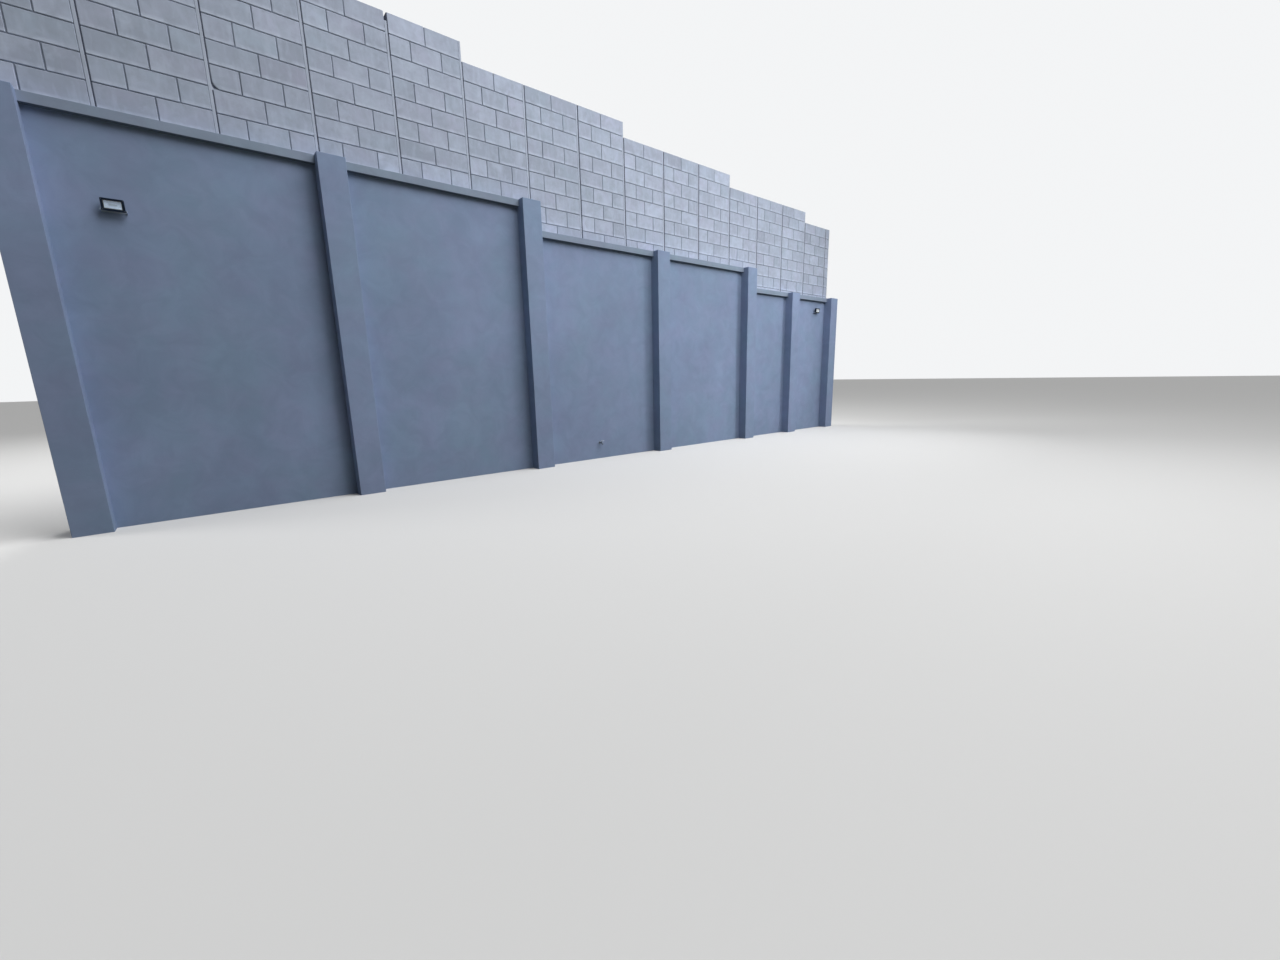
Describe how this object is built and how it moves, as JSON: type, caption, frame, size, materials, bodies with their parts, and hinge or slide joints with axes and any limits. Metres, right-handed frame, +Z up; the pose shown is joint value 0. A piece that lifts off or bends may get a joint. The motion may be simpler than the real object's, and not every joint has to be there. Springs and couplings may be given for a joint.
{
  "type": "rendered garden wall in stepped bays with a block wall behind",
  "caption": "Rendered garden wall running on in bays between piers, its coping stepping down, with a taller grey block wall rising behind it, floodlights and a tap.",
  "frame": {"origin": "middle of the foot of the whole row, at ground level", "axes": "+X along the row towards its low end, the rendered face looks to -Y, +Z up"},
  "size_m": [15.04, 0.6, 6.58],
  "materials": {
    "wall_render": "matte",
    "coping_render": "matte",
    "block_face": "matte",
    "lamp_black": "satin",
    "bracket_steel": "satin",
    "lamp_glass": "polished",
    "tap_metal": "satin"
  },
  "bodies": {
    "root": {"pier_0": "wall_render", "pier_1": "wall_render", "pier_2": "wall_render", "pier_3": "wall_render", "pier_4": "wall_render", "pier_5": "wall_render", "pier_6": "wall_render", "panel_1": "wall_render", "panel_2": "wall_render", "panel_3": "wall_render", "panel_4": "wall_render", "panel_5": "wall_render", "panel_6": "wall_render", "coping_1": "coping_render", "coping_2": "coping_render", "coping_3": "coping_render", "coping_4": "coping_render", "coping_5": "coping_render", "coping_6": "coping_render", "block_bay_01": "block_face", "block_bay_02": "block_face", "block_bay_03": "block_face", "block_bay_04": "block_face", "block_bay_05": "block_face", "block_bay_06": "block_face", "block_bay_07": "block_face", "block_bay_08": "block_face", "block_bay_09": "block_face", "block_bay_10": "block_face", "block_bay_11": "block_face", "block_bay_12": "block_face", "block_bay_13": "block_face", "block_bay_14": "block_face", "block_bay_15": "block_face", "floodlight_bracket_1": "bracket_steel", "floodlight_housing_1": "lamp_black", "floodlight_glass_1": "lamp_glass", "floodlight_bracket_2": "bracket_steel", "floodlight_housing_2": "lamp_black", "floodlight_glass_2": "lamp_glass", "tap_body": "tap_metal", "tap_lever": "tap_metal"}
  },
  "joints": []
}
